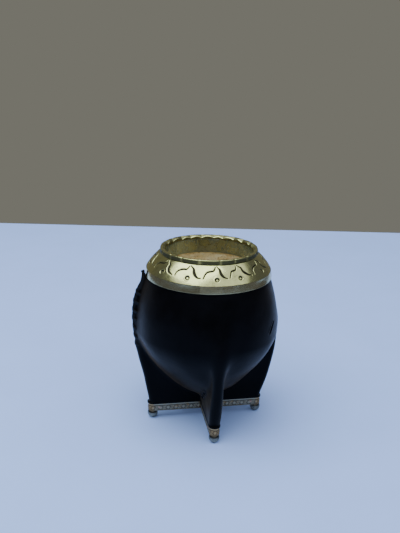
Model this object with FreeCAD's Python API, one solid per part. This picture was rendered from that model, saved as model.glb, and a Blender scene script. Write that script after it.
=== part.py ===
import FreeCAD, Part
import math
import os

# A leather-covered drinking gourd with a metal rim, standing on a cross-shaped base with four
# ball feet. Millimetres. The origin is on the resting plane, under the centre of the base.
# +Z is up, the right leg points along +X, the front leg along -Y and the laced seam along -X.

V = FreeCAD.Vector
CENTRE = V(0, 0, 0)
UP = V(0, 0, 1)
FULL_TURN = 360.0

# Leather body: a flattened egg, widest a little above the middle
BODY_R = 44.3
BODY_WIDE_Z = 63.2
BODY_BOTTOM_Z = 17.8
BODY_SIDE_PULL = 10.5        # how strongly the side keeps straight down before it turns in
BODY_FLOOR_PULL = 20.4       # how strongly the underside keeps flat before it turns up
BODY_UPPER_ARC_R = 99.7
LEATHER = 1.7
LEATHER_TOP_Z = 101.0

# Gourd inside the leather
GOURD_TOP_Z = 105.5
GOURD_MOUTH_R = 27.7
GOURD_NECK_Z = 103.2         # the mouth is cylindrical above this height
GOURD_INNER_R = 37.4
GOURD_INNER_WIDE_Z = 64.0
GOURD_INNER_BOTTOM_Z = 25.0
GOURD_INNER_SIDE_PULL = 9.5
GOURD_INNER_FLOOR_PULL = 17.0
GOURD_INNER_UPPER_PULL = 19.0
GOURD_NECK_PULL = V(29.5, 0, 94.0)

# Metal rim
LIP_TOP_Z = 114.6
LIP_UNDER_Z = 112.2
LIP_OUTER_R = 30.1
LIP_ROUND = 0.7
LIP_BEVEL_DEPTH = 1.2
LIP_BEVEL_WIDTH = 1.8
NOTCHES = 24
NOTCH_CUTTER_R = 2.2
MOUTH_R = 27.0               # the bore through the lip and the sleeve
SLEEVE_WALL = 0.6
SLEEVE_BOTTOM_Z = 103.2
SHOULDER_FOOT = V(38.3, 0, 102.3)
SHOULDER_MID = V(34.2, 0, 107.7)
SHOULDER_TOP = V(29.3, 0, LIP_UNDER_Z)
SHOULDER_FOOT_WALL = V(0.7, 0, 0)
SHOULDER_MID_WALL = V(0.5, 0, 0.6)
SHOULDER_TOP_WALL = V(1.0, 0, 0)
DIMPLES = 12
DIMPLE_R = 0.9
DIMPLE_LIFT = 0.6            # the punch's centre is this share of its radius above the sheet
DIMPLE_PLACE = 0.31          # share of the way up the shoulder's slope
DIMPLE_TURN = -2.0           # angle of the first dimple from +X
SEAM_TURN_AWAY = 13.0        # turns the sheet's closing edge clear of the dimples
BAND_BOTTOM_R = 38.9
BAND_BOTTOM_Z = 97.5
BAND_WALL = V(0.5, 0, 0)

# Base: two crossed bars in a metal trim, on four balls
BAR_BOTTOM_Z = 5.5
BAR_TOP_Z = 10.6
ARM_END_R = 37.5
TRIM_HALF_WIDTH = 3.4
TRIM_WALL = 0.5
HEM_HALF_WIDTH = 3.6
HEM_TOP_Z = 11.4
BALL_R = 3.3
BALL_CENTRE_Z = 3.2
BALL_PLACE_R = 34.3
STUD_R = 1.0
STUD_BOTTOM_Z = 3.0
STUD_TOP_Z = 16.0
TACK_PLACE_R = 30.4
TACK_Z = 8.2
TACK_SHANK_R = 0.35
TACK_HEAD_R = 0.7
TACK_HEAD_PROUD = 0.2
TACK_DEPTH = 2.2

# Legs: leather fins on wooden webs. A ridge is the fin's outer edge as (radius, height) points
# from the base up to where it sinks into the body.
FIN_HALF_WIDTH = 3.6
FIN_EDGE_ROUND = 3.0
WEB_HALF_WIDTH = 1.8
SIDE_RIDGE = [(36.4, BAR_TOP_Z), (43.5, 34.6), (46.1, 58.0), (46.0, 67.0), (41.5, 83.0)]
SEAM_RIDGE = [(36.4, BAR_TOP_Z), (39.9, 28.4), (43.9, 47.5), (44.0, 52.5), (40.5, 61.0)]
FACE_RIDGE = [(36.4, BAR_TOP_Z), (41.2, 29.5), (44.9, 50.0), (45.2, 58.0), (41.5, 73.0)]
LEGS = {
    "right": {"turn": 0.0, "ridge": SIDE_RIDGE, "web_top_z": 60.0},
    "back": {"turn": 90.0, "ridge": FACE_RIDGE, "web_top_z": 54.0},
    "left": {"turn": 180.0, "ridge": SEAM_RIDGE, "web_top_z": 48.0},
    "front": {"turn": 270.0, "ridge": FACE_RIDGE, "web_top_z": 54.0},
}

# Lacing that closes the leather's seam, with the thong's knotted tail beside the band
LACE_BOTTOM = V(44.6, 0, 51.0)
LACE_MIDDLE = V(47.6, 0, 71.5)
LACE_TOP = V(42.3, 0, 94.0)
LACE_HALF_ANGLE = 5.6
SEAM_TURN = 180.0
TAIL_R = 1.2
TAIL_FOOT = V(41.2, 0, 92.5)
KNOT_R = 1.6
KNOT_CENTRE = V(40.5, 0, 100.2)

MARGIN = 5.0                 # how far cutting solids run past what they cut


def line(start, end):
    return Part.LineSegment(start, end).toShape()


def arc(start, middle, end):
    return Part.Arc(start, middle, end).toShape()


def bezier(*poles):
    curve = Part.BezierCurve()
    curve.setPoles(list(poles))
    return curve.toShape()


def revolved(edges, angle=FULL_TURN):
    face = Part.Face(Part.Wire(Part.__sortEdges__(edges)))
    return face.revolve(CENTRE, UP, angle)


def tube(inner_r, outer_r, bottom_z, top_z):
    height = top_z - bottom_z
    outer = Part.makeCylinder(outer_r, height, V(0, 0, bottom_z))
    return outer.cut(Part.makeCylinder(inner_r, height, V(0, 0, bottom_z)))


def turned(shape, angle):
    copy = shape.copy()
    copy.rotate(CENTRE, UP, angle)
    return copy


def ring_of(shape, count):
    return [turned(shape, step * FULL_TURN / count) for step in range(count)]


def body_solid(inset, top_z):
    """The body inside its leather face, or inside the gourd's when inset by the leather."""
    wide_r = BODY_R - inset
    arc_r = BODY_UPPER_ARC_R - inset
    pull = wide_r / BODY_R

    def on_upper_arc(z):
        drop = arc_r - math.sqrt(arc_r ** 2 - (z - BODY_WIDE_Z) ** 2)
        return V(wide_r - drop, 0, z)

    bottom = V(0, 0, BODY_BOTTOM_Z + inset)
    side = V(wide_r, 0, BODY_WIDE_Z)
    top = on_upper_arc(top_z)
    under = bezier(bottom, bottom + V(BODY_FLOOR_PULL * pull, 0, 0),
                   side - V(0, 0, BODY_SIDE_PULL * pull), side)
    upper = arc(side, on_upper_arc((BODY_WIDE_Z + top_z) / 2), top)
    axis_top = V(0, 0, top_z)
    return revolved([under, upper, line(top, axis_top), line(axis_top, bottom)])


def gourd_shell():
    bottom = V(0, 0, GOURD_INNER_BOTTOM_Z)
    side = V(GOURD_INNER_R, 0, GOURD_INNER_WIDE_Z)
    neck = V(GOURD_MOUTH_R, 0, GOURD_NECK_Z)
    over = V(GOURD_MOUTH_R, 0, GOURD_TOP_Z + MARGIN)
    axis_top = V(0, 0, over.z)
    under = bezier(bottom, bottom + V(GOURD_INNER_FLOOR_PULL, 0, 0),
                   side - V(0, 0, GOURD_INNER_SIDE_PULL), side)
    upper = bezier(side, side + V(0, 0, GOURD_INNER_UPPER_PULL), GOURD_NECK_PULL, neck)
    hollow = revolved([under, upper, line(neck, over), line(over, axis_top), line(axis_top, bottom)])
    return body_solid(LEATHER, GOURD_TOP_Z).cut(hollow)


def rim_lip():
    corner = V(LIP_OUTER_R - LIP_ROUND, 0, LIP_TOP_Z - LIP_ROUND)
    diagonal = LIP_ROUND * math.sqrt(0.5)
    inner_foot = V(MOUTH_R, 0, LIP_UNDER_Z)
    outer_foot = V(LIP_OUTER_R, 0, LIP_UNDER_Z)
    outer_side = corner + V(LIP_ROUND, 0, 0)
    outer_top = corner + V(0, 0, LIP_ROUND)
    inner_top = V(MOUTH_R, 0, LIP_TOP_Z)
    ring = revolved([line(inner_foot, outer_foot), line(outer_foot, outer_side),
                     arc(outer_side, corner + V(diagonal, 0, diagonal), outer_top),
                     line(outer_top, inner_top), line(inner_top, inner_foot)])
    # Each filed notch is a groove that deepens towards the mouth
    slope = V(LIP_BEVEL_WIDTH, 0, LIP_BEVEL_DEPTH).normalize()
    lift = V(-slope.z, 0, slope.x) * NOTCH_CUTTER_R
    outer_end = V(MOUTH_R + LIP_BEVEL_WIDTH, 0, LIP_TOP_Z)
    start = outer_end - slope * MARGIN + lift
    cutter = Part.makeCylinder(NOTCH_CUTTER_R, 2 * MARGIN, start, slope)
    return ring.cut(ring_of(cutter, NOTCHES))


def rim_sleeve():
    return tube(MOUTH_R, MOUTH_R + SLEEVE_WALL, SLEEVE_BOTTOM_Z, LIP_UNDER_Z)


def shoulder_inner_arc():
    return [SHOULDER_FOOT - SHOULDER_FOOT_WALL, SHOULDER_MID - SHOULDER_MID_WALL,
            SHOULDER_TOP - SHOULDER_TOP_WALL]


def rim_shoulder():
    inner = shoulder_inner_arc()
    sheet = revolved([arc(SHOULDER_FOOT, SHOULDER_MID, SHOULDER_TOP), line(SHOULDER_TOP, inner[2]),
                      arc(*inner), line(inner[0], SHOULDER_FOOT)])
    slope = SHOULDER_TOP - SHOULDER_FOOT
    normal = V(slope.z, 0, -slope.x).normalize()
    bulge = (SHOULDER_MID - (SHOULDER_TOP + SHOULDER_FOOT) * 0.5).dot(normal)
    place = SHOULDER_FOOT + slope * DIMPLE_PLACE
    bulge_here = bulge * (1 - (1 - 2 * DIMPLE_PLACE) ** 2)
    centre = place + normal * (bulge_here + DIMPLE_R * DIMPLE_LIFT)
    punch = Part.makeSphere(DIMPLE_R, centre, normal)
    dimples = ring_of(turned(punch, DIMPLE_TURN), DIMPLES)
    return turned(sheet, SEAM_TURN_AWAY).cut(dimples)


def rim_band():
    foot = V(BAND_BOTTOM_R, 0, BAND_BOTTOM_Z)
    inner_top = SHOULDER_FOOT - SHOULDER_FOOT_WALL
    return revolved([line(SHOULDER_FOOT, foot), line(foot, foot - BAND_WALL),
                     line(foot - BAND_WALL, inner_top), line(inner_top, SHOULDER_FOOT)])


def rim_bedding():
    """Resin that holds the rim on the gourd and fills the space under the shoulder."""
    foot, middle, top = shoulder_inner_arc()
    inner_top = V(GOURD_MOUTH_R, 0, top.z)
    inner_foot = V(GOURD_MOUTH_R, 0, LEATHER_TOP_Z)
    outer_foot = V(foot.x, 0, LEATHER_TOP_Z) - BAND_WALL
    ring = revolved([arc(foot, middle, top), line(top, inner_top), line(inner_top, inner_foot),
                     line(inner_foot, outer_foot), line(outer_foot, foot)])
    return ring.cut(body_solid(LEATHER, GOURD_TOP_Z))


def arm(half_width, bottom_z, top_z):
    """A bar along +X from the axis, with a round nose about the same point as the trim's."""
    nose_r = ARM_END_R - TRIM_HALF_WIDTH
    height = top_z - bottom_z
    bar = Part.makeBox(nose_r, 2 * half_width, height, V(0, -half_width, bottom_z))
    return bar.fuse(Part.makeCylinder(half_width, height, V(nose_r, 0, bottom_z))).removeSplitter()


def mitre(turn=0.0):
    """The quarter of space around one arm, so that four arms meet along diagonals."""
    reach = 2 * BODY_R
    corners = [CENTRE, V(reach, -reach, 0), V(reach, reach, 0), CENTRE]
    return turned(Part.Face(Part.makePolygon(corners)).extrude(UP * LIP_TOP_Z), turn)


def leg_outline(ridge, inset):
    """One leg's side outline in the XZ plane, from the axis out to its ridge."""
    points = [V(r - inset, 0, z) for r, z in ridge]
    curve = Part.BSplineCurve()
    curve.interpolate(points)
    axis_top = V(0, 0, points[-1].z)
    axis_foot = V(0, 0, points[0].z)
    edges = [curve.toShape(), line(points[-1], axis_top), line(axis_top, axis_foot),
             line(axis_foot, points[0])]
    return Part.Face(Part.Wire(edges))


def leg_slab(leg, inset, half_width):
    outline = leg_outline(LEGS[leg]["ridge"], inset)
    outline.translate(V(0, -half_width, 0))
    return outline.extrude(V(0, 2 * half_width, 0))


def leather_fin(leg):
    slab = leg_slab(leg, 0.0, FIN_HALF_WIDTH)
    ridge_edges = [edge for edge in slab.Edges if isinstance(edge.Curve, Part.BSplineCurve)]
    fin = slab.makeFillet(FIN_EDGE_ROUND, ridge_edges)
    hem = arm(HEM_HALF_WIDTH, BAR_TOP_Z, HEM_TOP_Z)
    return turned(fin.fuse(hem), LEGS[leg]["turn"])


def leg_web(leg):
    """The wooden web inside one fin, from the base up to a point beside the gourd."""
    height = LEGS[leg]["web_top_z"] - BAR_TOP_Z
    reach = Part.makeBox(BODY_R + MARGIN, BODY_R, height, V(0, -BODY_R / 2, BAR_TOP_Z))
    web = leg_slab(leg, LEATHER, WEB_HALF_WIDTH).common(reach).common(mitre())
    web = web.cut(body_solid(LEATHER, GOURD_TOP_Z)).cut(stud())
    return turned(web, LEGS[leg]["turn"])


def full_leather_form():
    fins = [leather_fin(leg) for leg in LEGS]
    return body_solid(0.0, LEATHER_TOP_Z).fuse(fins)


def leather_cover(form, webs):
    studs = ring_of(stud(), len(LEGS))
    return form.cut([body_solid(LEATHER, GOURD_TOP_Z)] + webs + studs).removeSplitter()


def seam_lacing(form):
    inner_r = V(BODY_R / 2, 0, 0)
    inner_bottom = V(inner_r.x, 0, LACE_BOTTOM.z)
    inner_top = V(inner_r.x, 0, LACE_TOP.z)
    strip = revolved([arc(LACE_BOTTOM, LACE_MIDDLE, LACE_TOP), line(LACE_TOP, inner_top),
                      line(inner_top, inner_bottom), line(inner_bottom, LACE_BOTTOM)],
                     2 * LACE_HALF_ANGLE)
    strip = turned(strip, -LACE_HALF_ANGLE)
    run = KNOT_CENTRE - TAIL_FOOT
    tail = Part.makeCylinder(TAIL_R, run.Length, TAIL_FOOT, run)
    knot = Part.makeSphere(KNOT_R, KNOT_CENTRE)
    return turned(strip.fuse([tail, knot]), SEAM_TURN).cut(form)


def stud():
    return Part.makeCylinder(STUD_R, STUD_TOP_Z - STUD_BOTTOM_Z, V(BALL_PLACE_R, 0, STUD_BOTTOM_Z))


def ball_foot():
    ball = Part.makeSphere(BALL_R, V(BALL_PLACE_R, 0, BALL_CENTRE_Z))
    slot = Part.makeBox(2 * BALL_R, 2 * BALL_R, BAR_BOTTOM_Z, V(BALL_PLACE_R - BALL_R, -BALL_R, 0))
    return ball.common(slot).cut(stud())


def tack():
    """A tack in the near flank of one arm, driven towards +Y."""
    face_y = -TRIM_HALF_WIDTH
    inward = V(0, 1, 0)
    head = Part.makeCylinder(TACK_HEAD_R, TACK_HEAD_PROUD,
                             V(TACK_PLACE_R, face_y - TACK_HEAD_PROUD, TACK_Z), inward)
    shank = Part.makeCylinder(TACK_SHANK_R, TACK_DEPTH, V(TACK_PLACE_R, face_y, TACK_Z), inward)
    return head.fuse(shank)


def tack_pair():
    near = tack()
    far = near.mirror(CENTRE, V(0, 1, 0))
    return [near, far]


def trim_strip():
    outer = arm(TRIM_HALF_WIDTH, BAR_BOTTOM_Z, BAR_TOP_Z)
    core = arm(TRIM_HALF_WIDTH - TRIM_WALL, BAR_BOTTOM_Z, BAR_TOP_Z)
    return outer.cut(core).common(mitre()).cut(tack_pair())


def base_bar(turn, lap_bottom_z, lap_top_z):
    """A bar from nose to nose, with the other bar's half of the lap taken out of its middle."""
    half_width = TRIM_HALF_WIDTH - TRIM_WALL
    half = arm(half_width, BAR_BOTTOM_Z, BAR_TOP_Z).cut(tack_pair() + [stud()])
    bar = half.fuse(turned(half, FULL_TURN / 2)).removeSplitter()
    lap = Part.makeBox(2 * half_width, 2 * half_width, lap_top_z - lap_bottom_z,
                       V(-half_width, -half_width, lap_bottom_z))
    return turned(bar.cut(lap), turn)


def build():
    lap_z = (BAR_BOTTOM_Z + BAR_TOP_Z) / 2
    form = full_leather_form()
    webs = {leg: leg_web(leg) for leg in LEGS}
    parts = {
        "gourd_shell": gourd_shell(),
        "leather_cover": leather_cover(form, list(webs.values())),
        "seam_lacing": seam_lacing(form),
        "rim_lip": rim_lip(),
        "rim_sleeve": rim_sleeve(),
        "rim_shoulder": rim_shoulder(),
        "rim_band": rim_band(),
        "rim_bedding": rim_bedding(),
        "base_bar_side": base_bar(0.0, lap_z, BAR_TOP_Z),
        "base_bar_front": base_bar(90.0, BAR_BOTTOM_Z, lap_z),
        "foot_studs": Part.makeCompound(ring_of(stud(), len(LEGS))),
    }
    tacks = []
    for leg, facts in LEGS.items():
        parts["leg_web_" + leg] = webs[leg]
        parts["trim_strip_" + leg] = turned(trim_strip(), facts["turn"])
        parts["ball_foot_" + leg] = turned(ball_foot(), facts["turn"])
        tacks += [turned(one, facts["turn"]) for one in tack_pair()]
    parts["trim_tacks"] = Part.makeCompound(tacks)
    return parts


os.makedirs("parts", exist_ok=True)
for node, shape in build().items():
    solids = shape.Solids
    print(f"{node}: {len(solids)} solid, {shape.Volume / 1000:.2f} cm3, valid {shape.isValid()}")
    shape.exportStep("parts/" + node + ".step")
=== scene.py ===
import math

import bpy
import numpy as np
from mathutils import Matrix, Vector


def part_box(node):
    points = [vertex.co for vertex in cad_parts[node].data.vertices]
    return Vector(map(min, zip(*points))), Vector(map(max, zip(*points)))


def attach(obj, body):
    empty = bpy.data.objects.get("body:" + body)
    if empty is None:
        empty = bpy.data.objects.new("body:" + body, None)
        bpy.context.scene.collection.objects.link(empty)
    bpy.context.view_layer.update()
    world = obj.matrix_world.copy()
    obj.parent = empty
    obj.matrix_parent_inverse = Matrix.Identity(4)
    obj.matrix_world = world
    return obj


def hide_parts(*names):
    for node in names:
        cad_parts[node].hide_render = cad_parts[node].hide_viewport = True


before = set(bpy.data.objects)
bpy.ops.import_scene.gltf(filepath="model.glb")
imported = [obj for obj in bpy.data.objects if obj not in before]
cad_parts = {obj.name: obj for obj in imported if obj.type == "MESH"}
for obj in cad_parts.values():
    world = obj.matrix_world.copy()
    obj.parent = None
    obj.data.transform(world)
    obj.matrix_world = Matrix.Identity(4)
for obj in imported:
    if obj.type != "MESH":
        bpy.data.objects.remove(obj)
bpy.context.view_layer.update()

# A leather-covered drinking gourd with an engraved metal rim on a four-footed base. Shapes are
# worked out in millimetres as arrays of points, and stored in metres. +Z is up, the front leg
# points along -Y, the right leg along +X and the laced seam along -X.

MM = 0.001
ROOT = "root"
TURN = 2 * math.pi
LEGS = {"right": 0.0, "back": 90.0, "left": 180.0, "front": 270.0}


def box_mm(node):
    low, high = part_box(node)
    return np.array(low) / MM, np.array(high) / MM


# ---- sizes in millimetres, read from the CAD parts in model.glb where they have them

LEATHER = 1.7
SLEEVE_WALL = 0.6
LIP_LOW, LIP_HIGH = box_mm("rim_lip")
BAND_LOW, BAND_HIGH = box_mm("rim_band")
SHOULDER_LOW, SHOULDER_HIGH = box_mm("rim_shoulder")
SLEEVE_LOW, SLEEVE_HIGH = box_mm("rim_sleeve")
GOURD_LOW, GOURD_HIGH = box_mm("gourd_shell")
STRIP_LOW, STRIP_HIGH = box_mm("trim_strip_right")
BALL_LOW, BALL_HIGH = box_mm("ball_foot_right")
BORE_R = SLEEVE_HIGH[0] - SLEEVE_WALL

# Leather body, as in the CAD: a Bezier underside and an arc for the upper side
BODY_R = GOURD_HIGH[0] + LEATHER
BODY_WIDE_Z = 63.2
BODY_BOTTOM_Z = GOURD_LOW[2] - LEATHER
BODY_SIDE_PULL = 10.5
BODY_FLOOR_PULL = 20.4
BODY_UPPER_ARC_R = 99.7
LEATHER_TOP_Z = box_mm("leather_cover")[1][2]
BASE_TOP_Z = STRIP_HIGH[2]
HEM_TOP_Z = BASE_TOP_Z + 0.8

# The fins: half width and rounding, and each one's outer edge as (r, z) points
FIN_HALF_WIDTH = 3.5
FIN_ROUND = 3.2
SIDE_RIDGE = [(36.4, BASE_TOP_Z), (43.5, 34.6), (46.1, 58.0), (46.0, 67.0), (41.5, 83.0)]
SEAM_RIDGE = [(36.4, BASE_TOP_Z), (39.9, 28.4), (43.9, 47.5), (44.0, 52.5), (40.5, 61.0)]
FACE_RIDGE = [(36.4, BASE_TOP_Z), (41.2, 29.5), (44.9, 50.0), (45.2, 58.0), (41.5, 73.0)]
RIDGES = {"right": SIDE_RIDGE, "back": FACE_RIDGE, "left": SEAM_RIDGE, "front": FACE_RIDGE}

# The leather's folded hem, which stands a little proud of the trim under it
HEM_HALF_WIDTH = 3.65
HEM_HALF_HEIGHT = 0.45
HEM_NOSE_R = STRIP_HIGH[0] - 3.4

# How widely the parts of the leather form run into each other
HEM_BLEND = 0.8
FIN_BLEND = 2.0
BODY_BLEND = 6.0
FRONT_EXTRA_BLEND = 5.0

# The search for the leather's surface along rays, and how its columns are spread
RAY_REACH = 56.0
HALVINGS = 24
LENGTH_OF_A_RADIAN = 5.0
UNDER_POINTS = 400
TABLE_STEP = 0.5
TABLE_LOW_Z = 4.0

# The laced seam
SEAM_R = 45.0
WRAP_PITCH = 5.6
FIRST_WRAP_Z = 53.5
LAST_WRAP_Z = 92.0

# The shoulder's arc and what is cut into it
SHOULDER_TOP_R = 29.3
SHOULDER_MIDDLE = (34.2, 107.7)
SHOULDER_WALL = 0.65
ENGRAVED_R = 34.0
STROKE_DEPTH = 0.48
DIMPLE_R = 1.4
DIMPLE_DEPTH = 0.75
WAVE_REACH_DEGREES = 24
DIMPLE_AZIMUTHS = [-149, -120, -92.6, -70, -39.3, -9, 21, 52, 82, 112, 143, 178]

NOTCHES = 24                            # arches filed into the lip
SOLDER_TURN = math.radians(-74.5)       # where a drop of solder closes the band

GOURD_MOUTH_R = 27.7
GOURD_INNER_R = 37.4

TRIM_WALL = 0.5
RELIEF_DEPTH = 0.26
PATTERN_PITCH = 5.0

BALL_CENTRE_Z = 3.2
BALL_BORE_R = 1.0

HEADING = math.radians(-10)             # the camera looks along +Y turned by this
SKY_HEADING = math.radians(-2)          # the bright side of the sky lies behind the camera, this way


# ---- mesh helpers

def make_piece(name, points, faces, material, node, crease_angle, layers=None):
    """A mesh object from millimetre points and quads, riding on the root body for a CAD node."""
    mesh = bpy.data.meshes.new(name)
    mesh.vertices.add(points.size // 3)
    mesh.vertices.foreach_set("co", (points * MM).astype(np.float32).ravel())
    faces = np.asarray(faces, np.int32)
    count, corners = faces.shape
    mesh.loops.add(faces.size)
    mesh.loops.foreach_set("vertex_index", faces.ravel())
    mesh.polygons.add(count)
    mesh.polygons.foreach_set("loop_start", np.arange(0, faces.size, corners, dtype=np.int32))
    mesh.polygons.foreach_set("use_smooth", np.ones(count, bool))
    mesh.update(calc_edges=True)
    mesh.validate()
    for layer, values in (layers or {}).items():
        attribute = mesh.attributes.new(layer, "FLOAT", "POINT")
        attribute.data.foreach_set("value", np.asarray(values, np.float32).ravel())
    mesh.set_sharp_from_angle(angle=math.radians(crease_angle))
    mesh.materials.append(material)
    piece = bpy.data.objects.new(name, mesh)
    bpy.context.scene.collection.objects.link(piece)
    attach(piece, ROOT)
    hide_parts(node)
    return piece


def make_ring(name, points, material, node, crease_angle, layers=None):
    """A piece from [around][section] points that closes both ways."""
    faces = torus_faces(*points.shape[:2])
    return make_piece(name, points, faces, material, node, crease_angle, layers)


def torus_faces(around, section):
    """Quads of a surface that closes both ways: points are [around][section]."""
    a = np.arange(around)[:, None]
    s = np.arange(section)[None, :]
    a1 = (a + 1) % around
    s1 = (s + 1) % section
    quads = np.stack([a * section + s, a1 * section + s, a1 * section + s1, a * section + s1], -1)
    return quads.reshape(-1, 4)


def rod_faces(rings, section):
    """Quads of a closed bar: its side, and strips across the section that close both ends."""
    side = torus_faces(rings, section)[:-section]
    strip = np.arange(section // 2 - 1)
    cap = np.stack([strip, strip + 1, section - 2 - strip, section - 1 - strip], -1)
    return np.vstack([side, cap, (rings - 1) * section + cap[:, ::-1]])


def lathe(section, count):
    """Points [around][section] of one (r, z) section, or one for each step, turned about Z."""
    angle = np.linspace(0, TURN, count, endpoint=False)[:, None]
    section = np.broadcast_to(section, (count, *np.shape(section)[-2:]))
    r, z = section[..., 0], section[..., 1]
    return np.stack([r * np.cos(angle), r * np.sin(angle), z], -1)


def grid_normals(points):
    """Outward unit normals of a [rows][columns] grid that closes along its columns."""
    along = np.gradient(points, axis=0)
    across = (np.roll(points, -1, 1) - np.roll(points, 1, 1)) / 2
    normals = np.cross(across, along)
    return normals / (np.linalg.norm(normals, axis=-1, keepdims=True) + 1e-12)


def tangents(path):
    """Unit vectors along a path of points."""
    along = np.gradient(path, axis=0)
    return along / np.linalg.norm(along, axis=1, keepdims=True)


def right_normals(path):
    """Unit normals on the right-hand side of a flat path."""
    along = tangents(path)
    return np.stack([along[:, 1], -along[:, 0]], -1)


def push_out(points, distance):
    """Moves points straight away from the Z axis, in place."""
    radius = np.hypot(points[..., 0], points[..., 1]) + 1e-6
    points[..., :2] *= (1 + distance / radius)[..., None]


def bezier(poles, count):
    """Points along a cubic Bezier curve with four poles."""
    t = np.linspace(0, 1, count)[:, None]
    a, b, c, d = [np.array(pole, float) for pole in poles]
    return (1 - t) ** 3 * a + 3 * (1 - t) ** 2 * t * b + 3 * (1 - t) * t ** 2 * c + t ** 3 * d


def smooth_path(points, count):
    """A Catmull-Rom path of count points through a short list of points."""
    p = np.asarray(points, float)
    run = np.diff(p, axis=0)
    gap = np.linalg.norm(run, axis=1, keepdims=True) ** 0.5
    steps = np.r_[0, np.cumsum(gap)]
    rate = run / gap
    inner = (rate[:-1] * gap[1:] + rate[1:] * gap[:-1]) / (gap[1:] + gap[:-1])
    slopes = np.vstack([rate[:1], inner, rate[-1:]])
    at = np.linspace(0, steps[-1], count)
    k = np.clip(np.searchsorted(steps, at, side="right") - 1, 0, len(p) - 2)
    h = gap[k]
    u = (at - steps[k])[:, None] / h
    return ((2 * u ** 3 - 3 * u ** 2 + 1) * p[k] + (u ** 3 - 2 * u ** 2 + u) * h * slopes[k]
            + (3 * u ** 2 - 2 * u ** 3) * p[k + 1] + (u ** 3 - u ** 2) * h * slopes[k + 1])


def waves(points, size, seed, count=24):
    """Smooth random field of about -1 to 1 whose bumps are about size across."""
    rng = np.random.default_rng(seed)
    heading = rng.normal(size=(count, 3))
    heading /= np.linalg.norm(heading, axis=1, keepdims=True)
    pace = TURN / (size * rng.uniform(1.4, 3.0, count))
    shift = rng.uniform(0, TURN, count)
    total = np.zeros(points.shape[:-1])
    for direction, rate, start in zip(heading, pace, shift):
        total += np.sin(points @ direction * rate + start)
    return total / math.sqrt(count / 2)


def smoothstep(low, high, value):
    """0 up to low and 1 from high on, with a smooth rise between."""
    t = np.clip((value - low) / (high - low), 0, 1)
    return t * t * (3 - 2 * t)


def bump(distance, half_width):
    """1 on a line, falling smoothly to 0 at half_width from it."""
    return 1 - smoothstep(0.0, 1.0, np.abs(distance) / half_width)


def smooth_min(a, b, blend):
    """The lesser of two distances, with the corner between their surfaces filled."""
    near = np.maximum(blend - np.abs(a - b), 0) / blend
    return np.minimum(a, b) - near ** 3 * blend / 6


def to_segments(x, y, path):
    """Distance from each (x, y) to a polyline, and how far along it the nearest point is."""
    best = np.full(x.shape, 1e9)
    where = np.zeros(x.shape)
    spans = len(path) - 1
    for k, (start, end) in enumerate(zip(path[:-1], path[1:])):
        dx, dy = end - start
        t = np.clip(((x - start[0]) * dx + (y - start[1]) * dy) / (dx * dx + dy * dy), 0, 1)
        d = np.hypot(x - start[0] - t * dx, y - start[1] - t * dy)
        closer = d < best
        best = np.where(closer, d, best)
        where = np.where(closer, (k + t) / spans, where)
    return best, where


# ---- material helpers

class Nodes:
    """The few node recipes that the finishes and the world share."""

    def __init__(self, tree):
        self.tree = tree

    def node(self, kind, **settings):
        made = self.tree.nodes.new(kind)
        for key, value in settings.items():
            setattr(made, key, value)
        return made

    def link(self, output, target):
        self.tree.links.new(output, target)

    def feed(self, sockets, values):
        """Gives each socket its number or colour, or links it to an output."""
        for socket, value in zip(sockets, values):
            if isinstance(value, tuple):
                socket.default_value = (*value, 1)
            elif isinstance(value, (int, float)):
                socket.default_value = value
            else:
                self.link(value, socket)

    def span(self, value, low, high, start=0.0, stop=1.0, interpolation="LINEAR"):
        """Maps start to stop onto low to high."""
        made = self.node("ShaderNodeMapRange", interpolation_type=interpolation)
        sockets = [made.inputs[name] for name in ("Value", "From Min", "From Max", "To Min", "To Max")]
        self.feed(sockets, (value, start, stop, low, high))
        return made.outputs["Result"]

    def math(self, operation, a, b):
        made = self.node("ShaderNodeMath", operation=operation)
        self.feed(made.inputs, (a, b))
        return made.outputs["Value"]

    def mix(self, factor, a, b, blend="MIX"):
        """Mixes two colours, which a colour mix node takes on its inputs 6 and 7."""
        made = self.node("ShaderNodeMix", data_type="RGBA", blend_type=blend)
        self.feed((made.inputs[0], made.inputs[6], made.inputs[7]), (factor, a, b))
        return made.outputs[2]


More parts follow.
